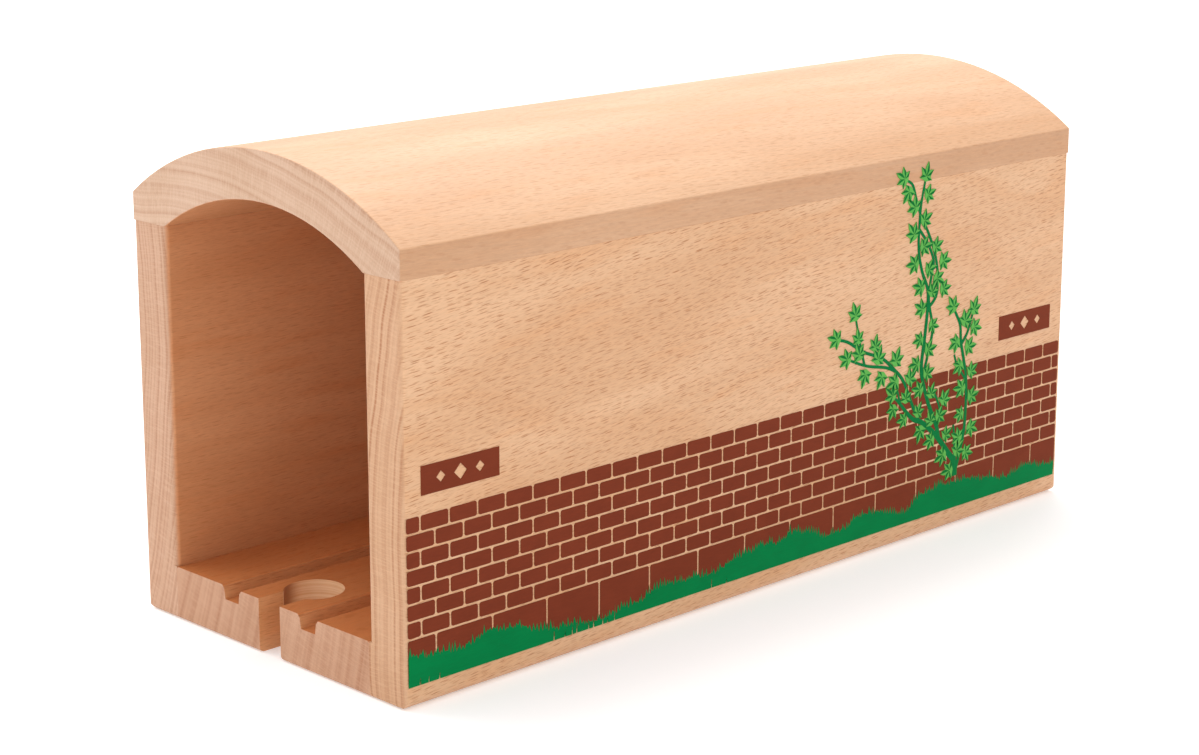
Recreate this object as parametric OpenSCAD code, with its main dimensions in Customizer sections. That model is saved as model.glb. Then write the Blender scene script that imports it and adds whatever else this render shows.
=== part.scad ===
// Toy railway tunnel: an arched roof on two side walls, glued round a grooved track floor.
// +X runs along the rails, +Y points away from the printed wall, +Z is up.
// The origin is the bottom centre of the whole piece, its connector peg included.

/* [Tunnel] */
// Length of the wooden body along the rails
body_length = 216; // [108:4:320]
// Width over both side walls
body_width = 88.6; // [80:0.2:120]
// Thickness of each side wall
wall_t = 11.5; // [8:0.5:16]
// Height of the side walls, up to the glued seam under the roof
wall_height = 87.4; // [70:0.2:120]
// Height at which the roof curve meets the outer sides
shoulder_height = 93.6; // [90:0.2:140]
// Height of the roof at its crown
crown_height = 107.8; // [104:0.2:160]
// Height of the passage at its crown
passage_height = 97; // [92:0.2:102]
// Rounding of the two long edges that the tunnel stands on
foot_r = 3; // [0.5:0.5:4]
// Easing of the upright corners at the two portals
corner_r = 1.3; // [0.5:0.1:3]
// Easing of the lower edges at the two portals
sill_r = 1.2; // [0.4:0.1:2]

/* [Track floor] */
// Thickness of the track floor
floor_t = 12; // [10:0.5:14]
// Distance between the centre lines of the two wheel grooves
groove_pitch = 26; // [24:0.5:30]
// Width of a wheel groove at the floor's top
groove_w = 6; // [5:0.5:8]
// Width of a wheel groove at its bottom
groove_bottom_w = 4.6; // [4:0.2:5]
// Depth of a wheel groove
groove_depth = 3.1; // [2:0.1:4]
// Easing of the groove's upper edges
groove_edge_r = 0.6; // [0.2:0.1:1]

/* [Connector] */
// Radius of the round socket hole
socket_r = 6.5; // [6:0.1:7]
// Distance from a portal to the centre of the socket hole and of the peg's head
coupling_reach = 12; // [11:0.5:14]
// Width of the slot that leads into the socket
slot_w = 7.2; // [6.5:0.1:9]
// Diameter of the peg's dowel
dowel_d = 6; // [5:0.5:6]
// Length of dowel glued into the floor
dowel_grip = 14; // [8:1:20]
// Diameter of the peg's head
peg_head_d = 11.6; // [10:0.1:12]
// Height of the peg's head
peg_head_h = 10; // [8:0.5:11]
// Depth of the dowel's hole in the head
head_bore_depth = 8; // [5:0.5:9]

/* [Printed wall] */
// Thickness of a printed layer
ink_t = 0.1; // [0.1:0.05:0.3]
// Margin between the near portal and the print
print_margin = 0.5; // [0.3:0.1:3]
// Margin between the far portal and the print
print_margin_far = 1.5; // [0.3:0.1:4]
// Height of the print's lower edge
print_low = 5; // [3:0.5:10]
// Height of the lower edge of the base blocks
block_low = 6; // [4:0.5:11]
// Height of the top of the brickwork
print_high = 39.9; // [30:0.1:60]
// Length of a brick with its joint
brick_pitch = 7.56; // [6:0.02:10]
// Height of a course with its joint
course_pitch = 3.6; // [3:0.05:5]
// Width of the open joints between bricks
joint_w = 0.5; // [0.3:0.05:0.8]
// Rounding of a brick's corners
brick_r = 0.5; // [0.2:0.1:1]
// Number of brick courses above the base blocks
courses = 7; // [3:1:9]
// Width of each name plate
plate_w = 20.7; // [12:0.1:30]
// Height of each name plate
plate_h = 6; // [4:0.1:9]
// Height of the centre line of the plates
plate_z = 46.9; // [44:0.1:60]
// Distance from the near portal to the near plate
plate_margin = 4.4; // [3:0.1:12]
// Distance from the far portal to the far plate
plate_margin_far = 5.6; // [3:0.1:12]
// Size of the middle lozenge in a plate, as a share of the plate's height
lozenge = 0.4; // [0.2:0.05:0.5]

/* [Printed plants] */
// Distance between two blades of grass
grass_step = 1.2; // [0.8:0.1:2]
// Height of the longest blades over the grass
blade_h = 1.1; // [0.5:0.1:2]
// Width of an ivy stem
stem_w = 0.75; // [0.5:0.05:1]
// Radius of an ivy leaf
leaf_r = 2.1; // [1.2:0.1:2.5]
// Distance between two leaves along a stem
leaf_step = 3.9; // [3:0.1:8]
// Distance from a stem's centre line to the root of a leaf
leaf_offset = 1.1; // [0.6:0.1:1.5]
// Angle between a leaf and its stem
leaf_turn = 55; // [30:5:80]

/* [Hidden] */
$fn = 64;

// The wooden body sits off centre along X, because the peg stands out at +X.
peg_reach = coupling_reach + peg_head_d / 2;
near_x = -(body_length + peg_reach) / 2;
far_x = near_x + body_length;
half_w = body_width / 2;
passage_w = body_width - 2 * wall_t;
face_y = -half_w;

// How far a cutting shape runs past the face that it cuts
clear = 1;

// Radius of an arc over a chord of the given half width and rise.
function arc_r(half, rise) = (half * half + rise * rise) / (2 * rise);
roof_r = arc_r(half_w, crown_height - shoulder_height);
passage_r = arc_r(passage_w / 2, passage_height - wall_height);

// Brickwork, measured from the near portal.
joint_first = print_margin + (brick_pitch - joint_w) / 2;
base_top = print_high - courses * course_pitch;
print_end = body_length - print_margin_far;

// Green is printed over brown, and the leaves over the stems.
green_t = 2 * ink_t;
leaf_t = 3 * ink_t;

// Top of the grass, as points of length from the near portal and height.
GRASS_TOP = [[0, 12], [24, 11.6], [36, 8.6], [50, 6.8], [72, 9.2], [95, 9.6], [113, 12.2],
    [130, 9.6], [150, 9.4], [168, 12.2], [186, 9.6], [216, 8.8]];

// Ivy stems, as points of length from the near portal and height, root first.
IVY_STEMS = [
    [[173.7, 13], [173.3, 16.5], [170.9, 19.3], [166.2, 24.4], [160.7, 28.7], [157.3, 30.2],
        [154.5, 32.5], [152.1, 35], [150, 36.8]],
    [[167, 23.8], [166.1, 26.8], [162.8, 33], [160.4, 39], [159.8, 43], [160.8, 50], [161.5, 56],
        [161.4, 61], [159, 66], [157.6, 71.5], [157.7, 78], [158.2, 82.5], [159.4, 87.4]],
    [[160.6, 40.6], [162.6, 46.8], [163.6, 51.5], [161.9, 58.7], [162.7, 64.4], [163.3, 67.8],
        [161.1, 72], [157.7, 76]],
    [[162.1, 56.8], [164.6, 59], [165.2, 63], [163.9, 69], [161.2, 74.5], [158, 79.4],
        [156.4, 83], [154.8, 86.8], [152.6, 88.2]],
    [[159.4, 29.4], [156.9, 33.4], [152.6, 41], [147.8, 44.3], [139.7, 46.3], [133.5, 48.7]],
    [[151.2, 42.4], [145.4, 47], [138.3, 49.9], [133, 53], [129.7, 54.1]],
    [[138.8, 46.6], [136.9, 52.5], [135.4, 58]],
    [[152.3, 35], [150.9, 38.7], [150.1, 42.8]],
    [[166, 26.8], [167.1, 31], [164.9, 35.4]],
    [[173.8, 14], [176.6, 22.5], [177.3, 29], [177, 37.5], [174.8, 46], [174.2, 50.5], [171.9, 54.4]],
    [[174.9, 45.6], [177.2, 48.2], [179, 52.5]],
    [[176.9, 36.5], [173.6, 40.5], [172.3, 43.4]],
    [[173.7, 14.5], [173.4, 20], [172.7, 26]],
];

// Straight parts between two points of a stem.
STEM_PARTS = 4;

// Length of a leaf's five points, as shares of its radius, the angle between them,
// and how deep the leaf is cut between two points and at its foot.
LEAF_TIPS = [0.75, 0.9, 1.15, 0.9, 0.75];
LEAF_ANGLE = 56;
LEAF_CUT = 0.55;
LEAF_FOOT = 0.2;

// Colours
BEECH = "burlywood";
BEECH_END = "tan";
INK_BROWN = [0.48, 0.24, 0.18];
INK_GREEN = [0.0, 0.52, 0.27];
INK_LEAF = [0.35, 0.74, 0.35];

// ---- Outlines ----

// A rectangle from the origin with round corners.
module round_rect(w, h, r) {
    translate([r, 0]) square([w - 2 * r, h]);
    translate([0, r]) square([w, h - 2 * r]);
    for (x = [r, w - r], y = [r, h - r])
        translate([x, y]) circle(r);
}

// Extrudes an outline drawn in Y and Z along the tunnel, from x for a length.
module along_rails(x, len) {
    translate([x, 0, 0]) rotate([90, 0, 90]) linear_extrude(len) children();
}

// Cuts a piece to the tunnel's length, with its lower edges eased at both portals.
module ease_sills() {
    intersection() {
        children();
        translate([near_x, half_w, 0]) rotate([90, 0, 0]) linear_extrude(body_width) {
            translate([0, sill_r]) square([body_length, crown_height]);
            translate([sill_r, 0]) square([body_length - 2 * sill_r, crown_height]);
            for (x = [sill_r, body_length - sill_r])
                translate([x, sill_r]) circle(sill_r);
        }
    }
}

// Section of one side wall, upright, with its lower outer edge rounded.
module wall_section() {
    difference() {
        square([wall_t, wall_height]);
        difference() {
            translate([-clear, -clear]) square(foot_r + clear);
            translate([foot_r, foot_r]) circle(foot_r);
        }
    }
}

// Section of one wheel groove about its centre line: a drafted channel with eased upper edges.
module groove_section() {
    top = groove_w / 2;
    bottom = groove_bottom_w / 2;
    polygon([[-bottom, -groove_depth], [bottom, -groove_depth], [top, clear], [-top, clear]]);
    for (side = [-1, 1])
        scale([side, 1]) difference() {
            translate([top - clear / 2, -groove_edge_r])
                square([groove_edge_r + clear / 2, 2 * groove_edge_r]);
            translate([top + groove_edge_r, -groove_edge_r]) circle(groove_edge_r);
        }
}

// ---- Wooden pieces ----

// Side wall on the +Y side, standing on its long edge. Its inner upright edges stay square
// beside the floor, so that the glue joint shows no groove.
module wall_block() {
    color(BEECH) ease_sills() intersection() {
        translate([near_x, half_w - wall_t, 0]) {
            linear_extrude(wall_height) round_rect(body_length, wall_t, corner_r);
            cube([body_length, wall_t / 2, floor_t]);
        }
        translate([0, half_w, 0]) scale([1, -1, 1]) along_rails(near_x, body_length) wall_section();
    }
}

module wall_plain() {
    wall_block();
}

module wall_printed() {
    mirror([0, 1, 0]) wall_block();
}

// Roof block: a segment of a disc above the shoulders, with the arch of the passage cut out below.
module roof() {
    color(BEECH) along_rails(near_x, body_length) difference() {
        intersection() {
            translate([-half_w, wall_height]) square([body_width, crown_height]);
            translate([0, crown_height - roof_r]) circle(roof_r, $fn = 180);
        }
        intersection() {
            translate([0, passage_height - passage_r]) circle(passage_r, $fn = 180);
            translate([-passage_w / 2, 0]) square([passage_w, crown_height]);
        }
    }
}

// Track floor between the walls: grooves, the slotted socket, and the drilled end for the dowel.
module track_floor() {
    socket_x = near_x + coupling_reach;
    color(BEECH) ease_sills() difference() {
        along_rails(near_x, body_length) difference() {
            translate([-passage_w / 2, 0]) square([passage_w, floor_t]);
            for (side = [-1, 1])
                translate([side * groove_pitch / 2, floor_t]) groove_section();
        }
        translate([socket_x, 0, -clear]) cylinder(r = socket_r, h = floor_t + 2 * clear);
        translate([near_x - clear, -slot_w / 2, -clear])
            cube([coupling_reach + clear, slot_w, floor_t + 2 * clear]);
        translate([far_x - dowel_grip, 0, floor_t / 2]) rotate([0, 90, 0])
            cylinder(d = dowel_d, h = dowel_grip + clear);
    }
}

// Dowel that carries the peg's head, glued into the far end of the floor.
module peg_dowel() {
    reach = coupling_reach - peg_head_d / 2 + head_bore_depth;
    color(BEECH) translate([far_x - dowel_grip, 0, floor_t / 2]) rotate([0, 90, 0])
        cylinder(d = dowel_d, h = dowel_grip + reach);
}

// Round head of the peg, turned upright, with a blind hole for the dowel.
module peg_head() {
    head_x = far_x + coupling_reach;
    color(BEECH_END) difference() {
        translate([head_x, 0, (floor_t - peg_head_h) / 2]) cylinder(d = peg_head_d, h = peg_head_h);
        translate([head_x - peg_head_d / 2 - clear, 0, floor_t / 2]) rotate([0, 90, 0])
            cylinder(d = dowel_d, h = head_bore_depth + clear);
    }
}

// ---- Printed layers on the -Y face ----

// Lays an outline drawn in tunnel length and height on the printed face.
module on_face(t) {
    translate([near_x, face_y, 0]) rotate([90, 0, 0]) linear_extrude(t) children();
}

// One course of blocks of a given pitch between the print's two ends.
module course(first_joint, pitch, low, high, r) {
    count = ceil((print_end - first_joint) / pitch);
    for (i = [0:count]) {
        from = max(print_margin, first_joint + (i - 1) * pitch + joint_w / 2);
        to = min(print_end, first_joint + i * pitch - joint_w / 2);
        if (to - from > 2.5 * r)
            translate([from, low]) round_rect(to - from, high - low, r);
    }
}

module print_bricks() {
    color(INK_BROWN) on_face(ink_t)
        for (k = [0:courses - 1]) {
            high = print_high - k * course_pitch;
            low = high - course_pitch + joint_w;
            shift = k % 2 == 0 ? 0 : brick_pitch / 2;
            course(joint_first + shift, brick_pitch, low, high, brick_r);
        }
}

// Long blocks under the brickwork, half hidden by the grass.
module print_base_blocks() {
    color(INK_BROWN) on_face(ink_t)
        course(joint_first + brick_pitch / 2, 2 * brick_pitch, block_low, base_top, brick_r);
}

// Every second point of the grass's edge is the tip of a blade, and no two blades are alike.
function blade(i) = i % 2 == 0 ? 0 : blade_h * (0.55 + 0.45 * abs(sin(97 * i)));

module print_grass() {
    last = floor((print_end - print_margin) / grass_step);
    tops = [for (i = [0:last])
        let (x = print_margin + i * grass_step)
        [x, max(lookup(x, GRASS_TOP), print_low + 1) + blade(i)]];
    color(INK_GREEN) on_face(green_t)
        polygon(concat([[tops[0][0], print_low]], tops, [[tops[last][0], print_low]]));
}

// Catmull-Rom curve through a list of points, and points sampled along it.
function near(p, i) = p[max(0, min(len(p) - 1, i))];
function spline(p, i, t) =
    let (a = near(p, i - 1), b = near(p, i), c = near(p, i + 1), d = near(p, i + 2))
    (2 * b + (c - a) * t + (2 * a - 5 * b + 4 * c - d) * t ^ 2 + (3 * b - a - 3 * c + d) * t ^ 3) / 2;
function samples(p, parts) =
    concat([for (i = [0:len(p) - 2], k = [0:parts - 1]) spline(p, i, k / parts)], [p[len(p) - 1]]);
function unit(v) = v / norm(v);
function tangent(q, i) = unit(near(q, i + 1) - near(q, i - 1));
function normal(q, i) = let (t = tangent(q, i)) [-t[1], t[0]];
function heading(q, i) = let (t = tangent(q, i)) atan2(t[1], t[0]);

// A stem as one ribbon of even width.
module stem(p) {
    q = samples(p, STEM_PARTS);
    n = len(q) - 1;
    polygon(concat(
        [for (i = [0:n]) q[i] + normal(q, i) * stem_w / 2],
        [for (i = [n:-1:0]) q[i] - normal(q, i) * stem_w / 2]));
}

module print_ivy_stems() {
    color(INK_GREEN) on_face(green_t)
        for (p = IVY_STEMS) stem(p);
}

// A five-pointed leaf with its tip along +X.
module leaf() {
    middle = (len(LEAF_TIPS) - 1) / 2;
    polygon([for (i = [0:len(LEAF_TIPS) - 1])
        let (
            tip = LEAF_ANGLE * (i - middle),
            gap = tip + LEAF_ANGLE / 2,
            cut = i < len(LEAF_TIPS) - 1 ? LEAF_CUT : LEAF_FOOT
        )
        each leaf_r * [LEAF_TIPS[i] * [cos(tip), sin(tip)], cut * [cos(gap), sin(gap)]]]);
}

// Leaves stand in turn on either side of a stem, and one at its end.
module leaves_along(p) {
    q = samples(p, STEM_PARTS);
    last = len(q) - 1;
    run = [for (i = 0, s = 0; i <= last; s = s + norm(near(q, i + 1) - q[i]), i = i + 1) s];
    for (i = [1:last - 1])
        if (floor(run[i] / leaf_step) > floor(run[i - 1] / leaf_step)) {
            side = floor(run[i] / leaf_step) % 2 == 0 ? 1 : -1;
            translate(q[i] + normal(q, i) * side * leaf_offset)
                rotate(heading(q, i) + side * leaf_turn) leaf();
        }
    translate(q[last]) rotate(heading(q, last)) leaf();
}

module print_ivy_leaves() {
    color(INK_LEAF) on_face(leaf_t)
        for (p = IVY_STEMS) leaves_along(p);
}

// A plate with a row of three lozenges left open in it, the middle one larger.
module plate() {
    difference() {
        square([plate_w, plate_h], center = true);
        for (i = [-1:1])
            translate([i * plate_w / 4, 0]) rotate(45)
                square(plate_h * lozenge * (i == 0 ? 1 : 0.7), center = true);
    }
}

module print_plates() {
    near_plate = plate_margin + plate_w / 2;
    far_plate = body_length - plate_margin_far - plate_w / 2;
    color(INK_BROWN) on_face(ink_t)
        for (x = [near_plate, far_plate])
            translate([x, plate_z]) plate();
}

track_floor();
wall_plain();
wall_printed();
roof();
peg_dowel();
peg_head();
print_bricks();
print_base_blocks();
print_grass();
print_ivy_stems();
print_ivy_leaves();
print_plates();
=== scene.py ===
"""Looks of a wooden toy railway tunnel: lacquered beech boards glued round a grooved track floor,
with brickwork, grass and ivy printed on one side.

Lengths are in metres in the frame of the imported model, and MM is one millimetre. The tunnel runs
along X from its near portal (low X), and the printed face looks along -Y.
"""

import math
import random

import bmesh
import bpy
from mathutils import Matrix, Vector


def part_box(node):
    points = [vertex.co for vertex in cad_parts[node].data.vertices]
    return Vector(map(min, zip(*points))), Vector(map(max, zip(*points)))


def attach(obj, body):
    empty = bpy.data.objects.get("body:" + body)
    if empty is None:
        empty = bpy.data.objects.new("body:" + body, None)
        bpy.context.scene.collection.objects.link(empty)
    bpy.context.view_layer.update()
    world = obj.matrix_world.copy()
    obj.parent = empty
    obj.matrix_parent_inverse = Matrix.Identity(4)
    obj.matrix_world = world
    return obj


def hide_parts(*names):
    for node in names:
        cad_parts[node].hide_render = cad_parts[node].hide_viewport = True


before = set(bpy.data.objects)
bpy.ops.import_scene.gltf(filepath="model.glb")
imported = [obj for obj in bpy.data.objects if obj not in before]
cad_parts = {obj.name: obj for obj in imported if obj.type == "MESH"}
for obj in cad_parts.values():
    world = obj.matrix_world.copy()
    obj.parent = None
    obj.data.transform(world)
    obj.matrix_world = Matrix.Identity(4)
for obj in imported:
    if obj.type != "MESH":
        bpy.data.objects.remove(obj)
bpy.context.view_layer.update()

MM = 0.001
ALONG = Vector((1, 0, 0))

# Driving places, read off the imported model
NEAR_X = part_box("roof")[0].x
FAR_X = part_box("roof")[1].x
SEAM_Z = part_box("roof")[0].z
FACE_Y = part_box("wall_printed")[0].y
FLOOR_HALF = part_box("track_floor")[1].y
FLOOR_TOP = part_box("track_floor")[1].z
PRINT_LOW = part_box("print_grass")[0].z
PRINT_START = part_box("print_bricks")[0].x
PRINT_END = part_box("print_bricks")[1].x
PEG_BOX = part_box("peg_head")

# The socket hole is as far inside the near portal as the peg's middle is outside the far one
COUPLING_REACH = (PEG_BOX[0].x + PEG_BOX[1].x) / 2 - FAR_X
SOCKET = (NEAR_X + COUPLING_REACH, 0.0)
SOCKET_R = 6.5 * MM

# Two places no farther apart than this are one place
SAME = 0.01 * MM


def srgb(*display):
    """A colour given as red, green and blue display values from 0 to 255, as linear RGBA."""
    shares = [v / 255 for v in display]
    return (*[v / 12.92 if v <= 0.04045 else ((v + 0.055) / 1.055) ** 2.4 for v in shares], 1.0)


# ---------------------------------------------------------------- camera, light and floor

LENS = 77.8
SHIFT_Y = -0.067
EYE = Vector((-0.4276, -0.4160, 0.1920))
HEADING = math.radians(45.6)
PITCH = math.radians(-12.56)


def make_camera():
    data = bpy.data.cameras.new("camera")
    data.lens = LENS
    data.sensor_width = 36
    data.shift_y = SHIFT_Y
    data.clip_start = 0.01
    data.clip_end = 50
    camera = bpy.data.objects.new("camera", data)
    level = math.cos(PITCH)
    look = Vector((math.cos(HEADING) * level, math.sin(HEADING) * level, math.sin(PITCH)))
    camera.location = EYE
    camera.rotation_mode = "QUATERNION"
    camera.rotation_quaternion = look.to_track_quat("-Z", "Y")
    bpy.context.scene.collection.objects.link(camera)
    bpy.context.scene.camera = camera


def area_light(name, place, aim, size, power, colour=(1, 1, 1)):
    data = bpy.data.lights.new(name, "AREA")
    data.shape = "DISK"
    data.size = size
    data.energy = power
    data.color = colour
    light = bpy.data.objects.new(name, data)
    light.location = place
    light.rotation_mode = "QUATERNION"
    light.rotation_quaternion = (Vector(aim) - Vector(place)).to_track_quat("-Z", "Y")
    bpy.context.scene.collection.objects.link(light)


def make_lights():
    """A white tent, and two soft lamps high up behind the tunnel that give its roof a sheen."""
    world = bpy.data.worlds.new("white_tent")
    world.use_nodes = True
    background = world.node_tree.nodes["Background"]
    background.inputs["Color"].default_value = (1, 1, 1, 1)
    background.inputs["Strength"].default_value = 1.02
    bpy.context.scene.world = world
    area_light("soft_top", (-0.1, 0.6, 1.05), (-0.05, 0, 0.1), 1.0, 6.5)
    area_light("soft_back", (0.5, 0.5, 0.95), (-0.06, 0, 0.1), 0.8, 4.0)


def make_floor():
    """A wide white table that glows a little, so that shadows on it stay faint."""
    bpy.ops.mesh.primitive_circle_add(vertices=96, radius=6, fill_type="NGON", location=(0, 0, 0))
    floor = bpy.context.object
    floor.name = "studio_floor"
    mat = bpy.data.materials.new("studio_white")
    mat.use_nodes = True
    shader = mat.node_tree.nodes["Principled BSDF"]
    shader.inputs["Base Color"].default_value = (0.86, 0.86, 0.86, 1)
    shader.inputs["Emission Color"].default_value = (1, 1, 1, 1)
    shader.inputs["Emission Strength"].default_value = 0.3
    shader.inputs["Roughness"].default_value = 0.9
    shader.inputs["Specular IOR Level"].default_value = 0.0
    floor.data.materials.append(mat)


# ---------------------------------------------------------------- shader nodes

class Shade:
    """Adds nodes to one material. An input is given a number, a tuple or another node's output."""

    def __init__(self, name):
        self.material = bpy.data.materials.new(name)
        self.material.use_nodes = True
        self.tree = self.material.node_tree
        self.shader = self.tree.nodes["Principled BSDF"]
        self.place = self.add("ShaderNodeTexCoord").outputs["Object"]
        self.normal = self.add("ShaderNodeTexCoord").outputs["Normal"]

    def add(self, kind, inputs=None, **settings):
        node = self.tree.nodes.new(kind)
        for key, value in settings.items():
            setattr(node, key, value)
        for key, value in (inputs or {}).items():
            self.put(node.inputs[key], value)
        return node

    def put(self, socket, value):
        if isinstance(value, bpy.types.NodeSocket):
            self.tree.links.new(value, socket)
        else:
            socket.default_value = value

    def math(self, operation, *values, clamp=False):
        inputs = dict(enumerate(values))
        return self.add("ShaderNodeMath", inputs, operation=operation, use_clamp=clamp).outputs[0]

    def vector(self, operation, *values, output="Vector"):
        inputs = dict(enumerate(values))
        return self.add("ShaderNodeVectorMath", inputs, operation=operation).outputs[output]

    def split(self, vector):
        return self.add("ShaderNodeSeparateXYZ", {0: vector}).outputs

    def join(self, x, y, z):
        return self.add("ShaderNodeCombineXYZ", {0: x, 1: y, 2: z}).outputs[0]

    def noise(self, vector, scale=1.0, detail=2.0, rough=0.5):
        inputs = {"Vector": vector, "Scale": scale, "Detail": detail, "Roughness": rough}
        return self.add("ShaderNodeTexNoise", inputs).outputs["Fac"]

    def fit(self, value, low, high, to_low=0.0, to_high=1.0, smooth=True):
        kind = "SMOOTHSTEP" if smooth else "LINEAR"
        inputs = {"Value": value, "From Min": low, "From Max": high, "To Min": to_low, "To Max": to_high}
        return self.add("ShaderNodeMapRange", inputs, interpolation_type=kind).outputs["Result"]

    def ramp(self, value, stops):
        node = self.add("ShaderNodeValToRGB", {"Fac": value})
        marks = node.color_ramp.elements
        while len(marks) < len(stops):
            marks.new(0.5)
        for mark, (place, level) in zip(marks, stops):
            mark.position = place
            mark.color = (level, level, level, 1)
        return node.outputs["Color"]

    def mix(self, share, first, second, blend="MIX"):
        """Two colours mixed. A mix node's colour sockets share their names, so they go by number."""
        node = self.add("ShaderNodeMix", data_type="RGBA", blend_type=blend)
        self.put(node.inputs[0], share)
        self.put(node.inputs[6], first)
        self.put(node.inputs[7], second)
        return node.outputs[2]

    def bump(self, height, strength, distance):
        inputs = {"Height": height, "Strength": strength, "Distance": distance}
        return self.add("ShaderNodeBump", inputs).outputs["Normal"]

    def finish(self, **inputs):
        for key, value in inputs.items():
            self.put(self.shader.inputs[key.replace("_", " ")], value)
        return self.material


# ---------------------------------------------------------------- beech

def grain_space(s, board, pith, slant, dive):
    """Millimetres along the grain, round the pith and out from it.

    The pith runs past the board as a line near X. Slant turns the grain in the face that looks at
    the pith, and dive tips it towards the pith, both in degrees.
    """
    radial = Vector((0, board[0] - pith[0], board[1] - pith[1])).normalized()
    around = radial.cross(ALONG)
    along = Matrix.Rotation(math.radians(slant), 3, radial) @ ALONG
    along = Matrix.Rotation(math.radians(dive), 3, around) @ along
    around = radial.cross(along).normalized()
    radial = along.cross(around)
    mapping = s.add("ShaderNodeMapping", {"Vector": s.place}, vector_type="TEXTURE")
    mapping.inputs["Location"].default_value = (0, pith[0] * MM, pith[1] * MM)
    mapping.inputs["Rotation"].default_value = Matrix((along, around, radial)).transposed().to_euler()
    mapping.inputs["Scale"].default_value = (MM, MM, MM)
    return mapping.outputs[0]


def growth_rings(s, spot, radius, ring, wobble):
    """Tone of the growth rings: 0 in the pale early wood, 1 in the thin late wood."""
    drift = s.noise(s.vector("MULTIPLY", spot, (0.009, 0.03, 0.03)), detail=2.0)
    bent = s.math("MULTIPLY_ADD", drift, 2 * wobble, radius)
    uneven = s.noise(s.join(s.math("DIVIDE", bent, 2.6 * ring), 0.0, 0.0), detail=2.0)
    phase = s.math("MULTIPLY_ADD", uneven, 2.6, s.math("DIVIDE", bent, ring))
    line = s.ramp(s.math("FRACT", phase), [(0.0, 0.5), (0.14, 0.05), (0.5, 0.2), (0.88, 1.0), (1.0, 0.5)])
    share = s.noise(s.join(0.0, s.math("DIVIDE", bent, 1.3 * ring), 0.0), detail=2.0)
    thin = s.noise(s.join(0.0, 0.0, s.math("DIVIDE", bent, 0.24 * ring)), detail=1.0)
    line = s.math("MULTIPLY", line, s.fit(share, 0.35, 0.65, 0.4, 1.0))
    return s.math("MULTIPLY_ADD", s.fit(thin, 0.35, 0.65, -0.5, 0.5), 0.4, line)


def ray_layer(s, along, around, radius, cell, lens, seed):
    """One layer of medullary rays: thin upright lenses, dark where a face cuts across them.

    Cell is their spacing in millimetres along the grain, round the pith and out from it. Lens is
    half the size of a ray in these directions, as a share of its cell.
    """
    spot = s.join(
        s.math("MULTIPLY_ADD", along, 1 / cell[0], seed),
        s.math("DIVIDE", around, cell[1]),
        s.math("DIVIDE", radius, cell[2]),
    )
    cells = s.add("ShaderNodeTexVoronoi", {"Vector": spot, "Scale": 1.0}, feature="F1")
    away = s.vector("SUBTRACT", spot, cells.outputs["Position"])
    stretched = s.vector("MULTIPLY", away, tuple(1 / v for v in lens))
    distance = s.vector("LENGTH", stretched, output="Value")
    depth = s.fit(s.split(cells.outputs["Color"])[0], 0.0, 1.0, 0.25, 1.0, smooth=False)
    return s.math("MULTIPLY", s.fit(distance, 0.45, 1.0, 1.0, 0.0), depth)


def ray_dashes(s, spot, along, around, radius, seed):
    """Large dashes with smaller, fainter ones between them, all wandering a little off the grain."""
    wave = s.noise(s.vector("MULTIPLY", spot, (0.03, 0.06, 0.06)), detail=1.0)
    wander = s.math("MULTIPLY_ADD", wave, 2.0, around)
    large = ray_layer(s, along, wander, radius, (3.8, 0.95, 9.0), (0.44, 0.15, 1.0), seed)
    small = ray_layer(s, along, wander, radius, (2.6, 0.6, 6.0), (0.44, 0.2, 1.0), seed + 7)
    return s.math("MAXIMUM", large, s.math("MULTIPLY", small, 0.6))


def toned(base, red, green, blue):
    """A colour multiplied by a tone, within the range of a colour."""
    return (min(1, base[0] * red), min(1, base[1] * green), min(1, base[2] * blue), 1)


def plank_tone(s, base, rings, rays, cloud, blush, bands, fleck):
    """Colour of the faces along the grain: clouds, warm bands where rings surface, and dark rays."""
    tone = s.mix(s.fit(cloud, 0.32, 0.68), toned(base, 0.94, 0.9, 0.86), toned(base, 1.05, 1.08, 1.12))
    tone = s.mix(s.fit(blush, 0.5, 0.72, 0.0, 0.6), tone, toned(base, 0.98, 0.86, 0.74))
    tone = s.mix(s.math("MULTIPLY", rings, bands, clamp=True), tone, toned(base, 0.9, 0.76, 0.62))
    return s.mix(s.math("MULTIPLY", rays, fleck), tone, toned(base, 0.6, 0.41, 0.26))


def end_tone(s, base, rings, hatch, cloud, bold):
    """Colour of end grain: late wood as dark lines, crossed by fine pale rays."""
    tone = s.mix(s.fit(cloud, 0.3, 0.7), toned(base, 0.96, 0.94, 0.91), toned(base, 1.04, 1.05, 1.07))
    tone = s.mix(s.math("MULTIPLY", rings, bold, clamp=True), tone, toned(base, 0.68, 0.5, 0.38))
    return s.mix(s.fit(hatch, 0.4, 0.68, 0.0, 0.4), tone, toned(base, 1.12, 1.18, 1.22))


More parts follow.
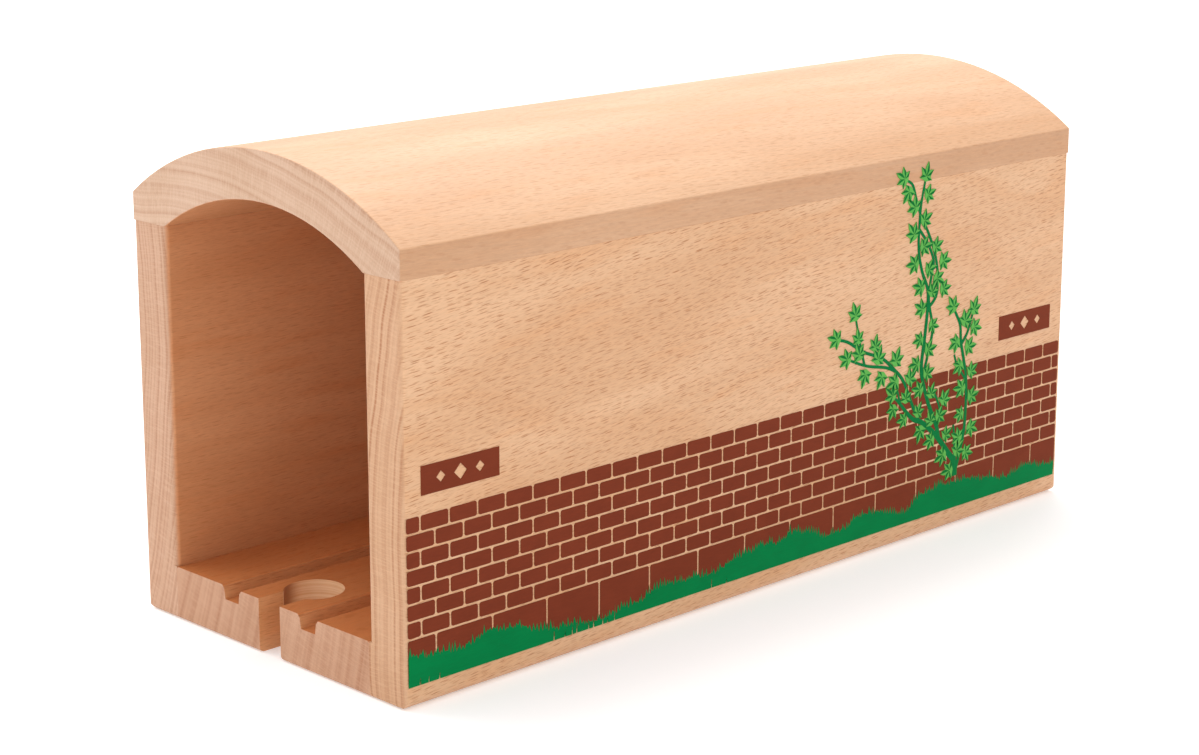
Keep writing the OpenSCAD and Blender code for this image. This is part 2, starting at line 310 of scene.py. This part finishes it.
def turned_marks_and_shade(s, tone, centre, radius):
    """Wall of a bored upright hole, with fine rings round it left by the cutter.

    Its rings are pale where the cut is clean and browner between. Where it faces away from the near
    portal, into the tunnel, it is darkened with painted shade.
    """
    away = s.vector("SUBTRACT", s.place, (*centre, 0.0))
    flat = s.vector("MULTIPLY", away, (1, 1, 0))
    offset = s.math("ABSOLUTE", s.math("SUBTRACT", s.vector("LENGTH", flat, output="Value"), radius))
    upright = s.math("LESS_THAN", s.math("ABSOLUTE", s.split(s.normal)[2]), 0.3)
    bored = s.math("MULTIPLY", s.math("LESS_THAN", offset, 0.15 * MM), upright)
    height = s.math("DIVIDE", s.split(s.place)[2], MM)
    rings = s.noise(s.join(0.0, 0.0, s.math("MULTIPLY", height, 1.6)), detail=3.0)
    marked = s.mix(s.fit(rings, 0.35, 0.65), toned(PLANK_COLOUR, 1.1, 1.0, 0.9),
                   toned(PLANK_COLOUR, 1.3, 1.45, 1.55))
    # Painted shade: the side of the hole that faces into the tunnel, away from the near portal, is
    # darkened
    painted_shade_into_tunnel = s.fit(s.split(s.normal)[0], -0.3, 0.5)
    marked = s.mix(painted_shade_into_tunnel, marked, toned(PLANK_COLOUR, 0.6, 0.42, 0.32))
    return s.mix(bored, tone, marked)


# Faces cut across the rings are a little deeper in colour than those along them
QUARTER_SAWN = (0.8, 0.76, 0.73, 1)


def beech(name, side, end, board, pith, ring, wobble=2.0, slant=0.0, dive=0.0, seed=0, fleck=0.6,
          bands=0.3, bold=0.6, inward=(0, 0, 0), painted_inside_shade=(0.97, 0.76, 0.62), bore=None):
    """Planed beech under clear satin lacquer. Board and pith are (y, z) in millimetres.

    Side and end are the colours of its long faces and its end grain. Fleck, bands and bold are how
    strongly the rays, the rings on the long faces and the rings on the ends show. The face that
    looks inward, into the tunnel, is toned by deep, as painted shade of the tunnel's dim, warm
    inside. Bore is the centre and radius of a turned hole.
    """
    s = Shade(name)
    point = grain_space(s, board, pith, slant, dive)
    along, across, out = s.split(point)[:3]
    squares = s.math("ADD", s.math("MULTIPLY", across, across), s.math("MULTIPLY", out, out))
    radius = s.math("SQRT", squares)
    around = s.math("MULTIPLY", s.math("ARCTAN2", across, out), math.dist(board, pith))
    spot = s.vector("ADD", point, (53.0 * seed, 17.0 * seed, 0.0))

    rings = growth_rings(s, spot, radius, ring, wobble)
    rays = ray_dashes(s, spot, along, around, radius, seed)

    fibre = s.noise(s.vector("MULTIPLY", spot, (0.2, 3.0, 3.0)), detail=3.0, rough=0.6)
    fine = s.noise(s.vector("MULTIPLY", spot, (0.7, 9.0, 9.0)), detail=2.0, rough=0.6)
    cloud = s.noise(s.vector("MULTIPLY", spot, (0.012, 0.07, 0.07)), detail=3.0)
    blush = s.noise(s.vector("MULTIPLY", spot, (0.03, 0.2, 0.2)), detail=3.0)
    spokes = s.join(0.0, s.math("MULTIPLY", around, 3.0), s.math("MULTIPLY", radius, 0.25))
    hatch = s.noise(spokes, detail=2.0)

    heart = Vector((0, board[0] - pith[0], board[1] - pith[1])).normalized()
    facing = s.math("ABSOLUTE", s.vector("DOT_PRODUCT", s.normal, tuple(heart), output="Value"))
    shown = s.fit(facing, 0.2, 0.85, 0.4 * fleck, fleck)
    end_grain = s.fit(s.math("ABSOLUTE", s.split(s.normal)[0]), 0.35, 0.9)

    plank = plank_tone(s, side, rings, rays, cloud, blush, bands, shown)
    plank = s.mix(s.fit(facing, 0.2, 0.6), s.mix(1.0, plank, QUARTER_SAWN, blend="MULTIPLY"), plank)
    cut = end_tone(s, end, rings, hatch, cloud, bold)
    # Painted shade: the face that looks into the tunnel is darkened and warmed by deep
    inside_shade_share = s.fit(s.vector("DOT_PRODUCT", s.normal, inward, output="Value"), 0.3, 0.7)
    plank = s.mix(inside_shade_share, plank, s.mix(1.0, plank, (*painted_inside_shade, 1), blend="MULTIPLY"))
    tone = s.mix(end_grain, plank, cut)
    streak = s.math("ADD", s.fit(fibre, 0.25, 0.75, 0.95, 1.05), s.fit(fine, 0.2, 0.8, -0.05, 0.05))
    tone = s.mix(1.0, tone, s.join(streak, streak, streak), blend="MULTIPLY")
    if bore:
        tone = turned_marks_and_shade(s, tone, *bore)

    gloss = s.math("MULTIPLY_ADD", rays, 0.1, s.fit(fibre, 0.2, 0.8, 0.4, 0.48))
    gloss = s.math("MULTIPLY_ADD", end_grain, 0.15, gloss)
    relief = s.math("MULTIPLY_ADD", rays, -0.8, s.math("ADD", fibre, s.math("MULTIPLY", fine, 0.5)))
    return s.finish(
        Base_Color=tone,
        Roughness=gloss,
        Normal=s.bump(relief, 0.3, 0.05 * MM),
        Specular_IOR_Level=0.35,
    )


# ---------------------------------------------------------------- wooden pieces

# Edges that turn more than SHARP are eased and shaded as corners, and those that turn less than
# FLAT are dissolved first
SHARP = math.radians(30)
FLAT = math.radians(0.3)

# Points closer than WELD are joined before the easing, and edges shorter than SLIVER after it
WELD = 0.001 * MM
SLIVER = 0.002 * MM


def eased_copy(node, name, passes):
    """A copy of a CAD node with its sharp edges eased.

    Each pass is a test, which is given an edge's two ends, and the width of the easing.
    """
    mesh = bmesh.new()
    mesh.from_mesh(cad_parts[node].data)
    bmesh.ops.remove_doubles(mesh, verts=mesh.verts, dist=WELD)
    bmesh.ops.dissolve_limit(mesh, angle_limit=FLAT, verts=mesh.verts, edges=mesh.edges)
    for test, width in passes:
        sharp = [
            e for e in mesh.edges
            if e.is_manifold and e.calc_face_angle() > SHARP and test(e.verts[0].co, e.verts[1].co)
        ]
        bmesh.ops.bevel(mesh, geom=sharp, offset=width, offset_type="OFFSET", segments=4, profile=0.5,
                        affect="EDGES", clamp_overlap=True)
    bmesh.ops.remove_doubles(mesh, verts=mesh.verts, dist=SLIVER)
    bmesh.ops.dissolve_degenerate(mesh, dist=SLIVER, edges=mesh.edges)
    bmesh.ops.recalc_face_normals(mesh, faces=mesh.faces)
    for face in mesh.faces:
        face.smooth = True
    for e in mesh.edges:
        e.smooth = e.is_manifold and e.calc_face_angle() < SHARP
    piece = add_piece(name, mesh)
    weighted = piece.modifiers.new("even_normals", "WEIGHTED_NORMAL")
    weighted.keep_sharp = True
    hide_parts(node)
    return piece


def add_piece(name, mesh):
    data = bpy.data.meshes.new(name)
    mesh.to_mesh(data)
    mesh.free()
    piece = bpy.data.objects.new(name, data)
    bpy.context.scene.collection.objects.link(piece)
    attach(piece, "root")
    return piece


def both_at(a, b, axis, levels):
    """True when both ends of an edge lie at the same one of these levels along an axis."""
    return any(abs(a[axis] - v) < SAME and abs(b[axis] - v) < SAME for v in levels)


def on_portal(a, b):
    return both_at(a, b, 0, (NEAR_X, FAR_X))


def at_seam(a, b):
    return both_at(a, b, 2, (SEAM_Z,))


def at_wall(a, b):
    return both_at(a, b, 1, (-FLOOR_HALF, FLOOR_HALF))


def on_table(a, b):
    return max(a.z, b.z) < SAME


def anywhere(a, b):
    return True


# How wide each kind of edge is eased
PORTAL_EASE = 0.4 * MM
GLUED_EASE = 0.05 * MM
CREASE_EASE = 0.2 * MM
FLOOR_EASE = 0.4 * MM
JOINT_EASE = 0.6 * MM
SLOT_EASE = 0.8 * MM
DOWEL_EASE = 0.4 * MM
HEAD_EASE = 0.5 * MM

# Colours of the long faces, and of most of the end grain
PLANK_COLOUR = srgb(213, 168, 129)
# The roof's long faces are a little paler than the walls', as painted light for the roof's brightly lit
# top
ROOF_LIT_COLOUR = srgb(219, 174, 136)
FLOOR_COLOUR = srgb(212, 153, 105)
END_COLOUR = srgb(198, 157, 129)


def make_roof():
    passes = [
        (lambda a, b: on_portal(a, b) and not at_seam(a, b), PORTAL_EASE),
        (at_seam, GLUED_EASE),
        (lambda a, b: not on_portal(a, b) and not at_seam(a, b), CREASE_EASE),
    ]
    roof = eased_copy("roof", "roof_board", passes)
    # The roof's underside gets a strong painted shade, for the dim inside of the tunnel
    roof.data.materials.append(beech(
        "beech_roof", ROOF_LIT_COLOUR, srgb(203, 168, 142), board=(0, 97), pith=(30, -80), ring=3.0,
        wobble=3.0, slant=-1.5, dive=0.5, seed=1, fleck=0.5, bands=0.25, bold=0.7, inward=(0, 0, -1),
        painted_inside_shade=(0.84, 0.65, 0.51)))


def make_walls():
    passes = [
        (at_seam, GLUED_EASE),
        (on_table, PORTAL_EASE),
    ]
    plain = eased_copy("wall_plain", "plain_wall_board", passes)
    printed = eased_copy("wall_printed", "printed_wall_board", passes)
    plain.data.materials.append(beech(
        "beech_plain_wall", PLANK_COLOUR, END_COLOUR, board=(38, 44), pith=(238, 70), ring=1.3,
        wobble=1.5, slant=1.0, dive=0.4, seed=2, fleck=0.4, bands=0.2, bold=1.0, inward=(0, -1, 0)))
    printed.data.materials.append(beech(
        "beech_printed_wall", PLANK_COLOUR, srgb(202, 158, 123), board=(-38.5, 44), pith=(-340, 32),
        ring=2.4, wobble=2.0, slant=-6.0, dive=2.4, seed=3, fleck=1.0, bands=0.35, bold=1.0,
        inward=(0, 1, 0)))


def make_track_floor():
    passes = [
        (lambda a, b: at_wall(a, b) and min(a.z, b.z) > FLOOR_TOP - SAME, JOINT_EASE),
        (at_wall, GLUED_EASE),
        (lambda a, b: not at_wall(a, b) and on_table(a, b), SLOT_EASE),
        (lambda a, b: not at_wall(a, b), FLOOR_EASE),
    ]
    floor = eased_copy("track_floor", "floor_board", passes)
    # The floor's top gets a painted shade that is warmer and darker in green and blue, for the tunnel's
    # inside
    floor.data.materials.append(beech(
        "beech_floor", FLOOR_COLOUR, srgb(193, 148, 118), board=(0, 6), pith=(155, 48), ring=4.2,
        wobble=1.5, slant=-1.0, dive=0.4, seed=4, fleck=0.6, bands=0.35, bold=0.8, inward=(0, 0, 1),
        painted_inside_shade=(1.07, 0.85, 0.68), bore=(SOCKET, SOCKET_R)))


def make_peg():
    dowel = eased_copy("peg_dowel", "peg_neck_dowel", [(anywhere, DOWEL_EASE)])
    head = eased_copy("peg_head", "peg_round_head", [(anywhere, HEAD_EASE)])
    dowel.data.materials.append(beech(
        "beech_dowel", PLANK_COLOUR, END_COLOUR, board=(0, 6), pith=(-20, -30), ring=1.8, seed=5))
    head.data.materials.append(beech(
        "beech_peg_head", PLANK_COLOUR, END_COLOUR, board=(0, 6), pith=(-30, 20), ring=1.8, seed=6))


# ---------------------------------------------------------------- printed ink

def ink(name, colour, spread=0.06):
    """Matt screen ink: the fibres of the wood under it show as faint streaks."""
    s = Shade(name)
    point = s.vector("MULTIPLY", s.place, (1 / MM, 1 / MM, 1 / MM))
    streak = s.noise(s.vector("MULTIPLY", point, (0.5, 1.0, 3.5)), detail=3.0, rough=0.6)
    cloud = s.noise(s.vector("MULTIPLY", point, (0.12, 1.0, 0.2)), detail=2.0)
    level = s.fit(streak, 0.2, 0.8, 1 - spread, 1 + spread)
    level = s.math("ADD", level, s.fit(cloud, 0.3, 0.7, -0.04, 0.04))
    tone = s.mix(1.0, colour, s.join(level, level, level), blend="MULTIPLY")
    return s.finish(
        Base_Color=tone,
        Roughness=s.fit(streak, 0.2, 0.8, 0.5, 0.62),
        Normal=s.bump(streak, 0.2, 0.03 * MM),
        Specular_IOR_Level=0.03,
    )


def on_print(x, z):
    """A place on the printed face from millimetres along the tunnel and up."""
    return NEAR_X + x * MM, z * MM


def slab(name, shapes, thickness, step):
    """Flat shapes of ink on the printed face, each a list of (x, z) in millimetres.

    Shapes may cross, so each is thicker than the one before it by one step.
    """
    mesh = bmesh.new()
    for order, shape in enumerate(shapes):
        points = [on_print(*p) for p in shape]
        front = [mesh.verts.new((x, FACE_Y - thickness - order * step, z)) for x, z in points]
        back = [mesh.verts.new((x, FACE_Y, z)) for x, z in points]
        mesh.faces.new(front)
        mesh.faces.new(reversed(back))
        for i in range(len(points)):
            k = (i + 1) % len(points)
            mesh.faces.new((front[k], front[i], back[i], back[k]))
    bmesh.ops.recalc_face_normals(mesh, faces=mesh.faces)
    return add_piece(name, mesh)


# Thickness of each layer of ink, and how much each shape that may cross others adds to it
GRASS_T = 0.12 * MM
STEM_T = 0.14 * MM
LEAF_T = 0.18 * MM
SHADE_T = 0.25 * MM
LAYER_STEP = 0.001 * MM

# Top of the grass, as millimetres along the tunnel and up, and the least height of a blade
GRASS_TOP = [
    (0, 12), (8, 10.6), (15, 10.4), (22, 12), (30, 11), (36, 8.6), (42, 7.8), (54, 6.3),
    (60, 7.4), (65, 7.6), (71, 9.5), (80, 9.2), (88, 8.6), (97, 10.4), (105, 11.4), (110, 10.8),
    (114, 12.2), (120, 11), (127, 8.5), (133, 9), (138, 10.8), (144, 10.6), (149, 8.9), (155, 8.3),
    (161, 11.2), (168, 12), (177, 11.6), (186, 10.2), (194, 8.7), (203, 10), (210, 8.7), (216, 8.4),
]
SHORTEST = 1.2

# Bare slits in the grass, as millimetres along the tunnel, and their half widths at foot and top
GRASS_SLITS = [3.5, 5.8, 8.6, 40, 43.2, 45.3, 46.6, 50, 51.5, 54.2, 55.6, 57.7, 87.8, 92.7]
SLIT_FOOT = 0.2
SLIT_TOP = 0.05

# Ivy stems, as millimetres along the tunnel and up, root first, with their widths at root and tip
IVY_STEMS = [
    ([(173.7, 13), (173.3, 16.5), (170.9, 19.3), (166.2, 24.4), (160.7, 28.7), (157.3, 30.2),
      (154.5, 32.5), (152.1, 35), (150, 36.8)], 1.9, 0.7),
    ([(167, 23.8), (166.1, 26.8), (162.8, 33), (160.4, 39), (159.8, 43), (160.8, 50), (161.5, 56),
      (161.4, 61), (159, 66), (157.6, 71.5), (157.7, 78), (158.2, 82.5), (159.4, 87.4)], 1.3, 0.6),
    ([(160.6, 40.6), (162.6, 46.8), (163.6, 51.5), (161.9, 58.7), (162.7, 64.4), (163.3, 67.8),
      (161.1, 72), (157.7, 76)], 0.8, 0.7),
    ([(162.1, 56.8), (164.6, 59), (165.2, 63), (163.9, 69), (161.2, 74.5), (158, 79.4),
      (156.4, 83), (154.8, 86.8), (152.6, 88.2)], 0.8, 0.6),
    ([(159.4, 29.4), (156.9, 33.4), (152.6, 41), (147.8, 44.3), (139.7, 46.3), (133.5, 48.7)], 1.0, 0.6),
    ([(151.2, 42.4), (145.4, 47), (138.3, 49.9), (133, 53), (129.7, 54.1)], 0.8, 0.7),
    ([(138.8, 46.6), (136.9, 52.5), (135.4, 58)], 0.7, 0.5),
    ([(152.3, 35), (150.9, 38.7), (150.1, 42.8)], 0.6, 0.5),
    ([(166, 26.8), (167.1, 31), (164.9, 35.4)], 0.8, 0.6),
    ([(173.8, 14), (176.6, 22.5), (177.3, 29), (177, 37.5), (174.8, 46), (174.2, 50.5), (171.9, 54.4)],
     1.1, 0.7),
    ([(174.9, 45.6), (177.2, 48.2), (179, 52.5)], 0.8, 0.6),
    ([(176.9, 36.5), (173.6, 40.5), (172.3, 43.4)], 0.7, 0.5),
    ([(173.7, 14.5), (173.4, 20), (172.7, 26)], 1.2, 0.6),
]


def between(points, x):
    """Height at x on the line through points in order of x, eased at each point."""
    for (x0, z0), (x1, z1) in zip(points, points[1:]):
        if x <= x1:
            t = (x - x0) / (x1 - x0)
            return z0 + (z1 - z0) * t * t * (3 - 2 * t)
    return points[-1][1]


def grass_columns():
    """Foot and top of the grass at each step along it, as (x, foot, top) in millimetres."""
    rng = random.Random(11)
    low = PRINT_LOW / MM
    x, end = (PRINT_START - NEAR_X) / MM, (PRINT_END - NEAR_X) / MM
    columns = []
    tip = False
    while x < end:
        top = between(GRASS_TOP, x) + (rng.uniform(-0.1, 1.7) if tip else rng.uniform(-1.0, -0.1))
        columns.append((x, low, max(top, low + SHORTEST)))
        x += rng.uniform(0.2, 0.6)
        tip = not tip
    for slit in GRASS_SLITS:
        top = between(GRASS_TOP, slit)
        foot = low + rng.uniform(1.2, 2.1)
        columns += [
            (slit - SLIT_FOOT, low, top), (slit - SLIT_TOP, foot, top),
            (slit + SLIT_TOP, foot, top), (slit + SLIT_FOOT, low, top),
        ]
    return sorted(columns)


def make_grass(green):
    """One sheet of ink whose upper edge is a row of uneven blades, with bare slits at its foot."""
    mesh = bmesh.new()
    rows = []
    for x, foot, top in grass_columns():
        rows.append([
            mesh.verts.new((NEAR_X + x * MM, FACE_Y - t, z * MM))
            for z, t in ((foot, GRASS_T), (top, GRASS_T), (top, 0), (foot, 0))
        ])
    for a, b in zip(rows, rows[1:]):
        for i in range(4):
            k = (i + 1) % 4
            mesh.faces.new((a[i], a[k], b[k], b[i]))
    mesh.faces.new(rows[0])
    mesh.faces.new(rows[-1])
    bmesh.ops.recalc_face_normals(mesh, faces=mesh.faces)
    grass = add_piece("grass_blades", mesh)
    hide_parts("print_grass")
    grass.data.materials.append(green)


def smooth_line(points, parts):
    """Points along a Catmull-Rom curve through a list of points."""
    points = [Vector(p) for p in points]
    padded = [points[0], *points, points[-1]]
    line = []
    for a, b, c, d in zip(padded, padded[1:], padded[2:], padded[3:]):
        for k in range(parts):
            t = k / parts
            line.append((2 * b + (c - a) * t + (2 * a - 5 * b + 4 * c - d) * t ** 2
                         + (3 * b - a - 3 * c + d) * t ** 3) / 2)
    return line + [points[-1]]


def heading(line, i):
    """Direction of a line at one of its points, in degrees up from along the tunnel."""
    step = line[min(i + 1, len(line) - 1)] - line[max(i - 1, 0)]
    return math.degrees(math.atan2(step.y, step.x))


def toward(angle, length=1.0):
    """A step of some length at an angle in degrees, up from along the tunnel."""
    return Vector((math.cos(math.radians(angle)), math.sin(math.radians(angle)))) * length


def ribbon(points, root_w, tip_w):
    """Outline of a stem that gets thinner from root to tip."""
    line = smooth_line(points, 6)
    left, right = [], []
    for i, p in enumerate(line):
        half = (root_w + (tip_w - root_w) * i / (len(line) - 1)) / 2
        side = toward(heading(line, i) + 90, half)
        left.append(p + side)
        right.append(p - side)
    return left + right[::-1]


def make_stems(green):
    stems = slab("ivy_stems", [ribbon(*stem) for stem in IVY_STEMS], STEM_T, LAYER_STEP)
    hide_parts("print_ivy_stems")
    stems.data.materials.append(green)


# Points of a leaf, as degrees from its middle and length, with a shoulder on each side of every
# point, and the notches between them. Lengths are shares of the leaf's size.
LOBES = [(-106, 0.85), (-50, 1.05), (0, 1.25), (50, 1.05), (106, 0.85)]
SHOULDER = 0.68
SHOULDER_TURN = 15
NOTCH = 0.58
HEEL = 0.46

# Size of a leaf, the run of stem from one leaf to the next, and the least way between two, in
# millimetres
LEAF_R = 2.8
LEAF_STEP = 3.2
LEAF_ROOM = 3.1


def leaf_blade(centre, turn, size):
    """Outline of a leaf: five pointed lobes with a notch after each and a blunt heel."""
    outline = []
    ends = [angle for angle, _ in LOBES[1:]] + [2 * 180 - LOBES[-1][0]]
    for (angle, length), following in zip(LOBES, ends):
        notch = (NOTCH if following < 180 else HEEL) * size
        outline += [
            centre + toward(turn + angle - SHOULDER_TURN, SHOULDER * length * size),
            centre + toward(turn + angle, length * size),
            centre + toward(turn + angle + SHOULDER_TURN, SHOULDER * length * size),
            centre + toward(turn + (angle + following) / 2, notch),
        ]
    return outline


def lobe_shade(centre, turn, size, angle, length):
    """The shaded half of one lobe, from near the heel to its point."""
    return [
        centre + toward(turn + angle - 10, 0.05 * size),
        centre + toward(turn + angle - 24, 0.52 * size),
        centre + toward(turn + angle - 14, 0.66 * length * size),
        centre + toward(turn + angle, length * size),
        centre + toward(turn + angle + 1, 0.5 * length * size),
    ]


def leaf_places():
    """Centre, angle and size of each leaf: in turn on both sides of every stem, and at its end."""
    rng = random.Random(5)
    places = []

    def grow(foot, turn, size):
        centre = foot + toward(turn, 0.35 * LEAF_R)
        if all((centre - other).length > LEAF_ROOM for other, _, _ in places):
            places.append((centre, turn, size * LEAF_R))

    for points, _, _ in IVY_STEMS:
        line = smooth_line(points, 12)
        grow(line[-1], heading(line, len(line) - 1), 1.0)
        run, last = 0.5 * LEAF_STEP, 0
        for i in range(1, len(line) - 6):
            run += (line[i] - line[i - 1]).length
            if int(run / LEAF_STEP) > last:
                last = int(run / LEAF_STEP)
                side = 1 if last % 2 else -1
                ahead = heading(line, i)
                out = toward(ahead + side * 90, rng.uniform(0.7, 1.3))
                turn = ahead + side * rng.uniform(35, 110)
                grow(line[i] + out, turn, rng.uniform(0.85, 1.05))
    return places


def make_leaves(dark, light):
    places = leaf_places()
    blades = slab("ivy_leaves", [leaf_blade(*place) for place in places], LEAF_T, LAYER_STEP)
    shades = slab("ivy_leaf_shades", [lobe_shade(*place, *lobe) for place in places for lobe in LOBES],
                  SHADE_T, 0)
    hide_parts("print_ivy_leaves")
    blades.data.materials.append(light)
    shades.data.materials.append(dark)


def make_prints():
    brown = ink("ink_brown", srgb(117, 52, 33))
    green = ink("ink_grass_green", srgb(0, 119, 63))
    stem_green = ink("ink_stem_green", srgb(8, 112, 56))
    shade_green = ink("ink_shade_green", srgb(14, 106, 46))
    leaf_green = ink("ink_leaf_green", srgb(93, 168, 78))
    for node in ("print_bricks", "print_base_blocks", "print_plates"):
        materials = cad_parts[node].data.materials
        materials.clear()
        materials.append(brown)
    make_grass(green)
    make_stems(stem_green)
    make_leaves(shade_green, leaf_green)


make_camera()
make_lights()
make_floor()
make_roof()
make_walls()
make_track_floor()
make_peg()
make_prints()
bpy.context.scene.view_settings.view_transform = "Standard"
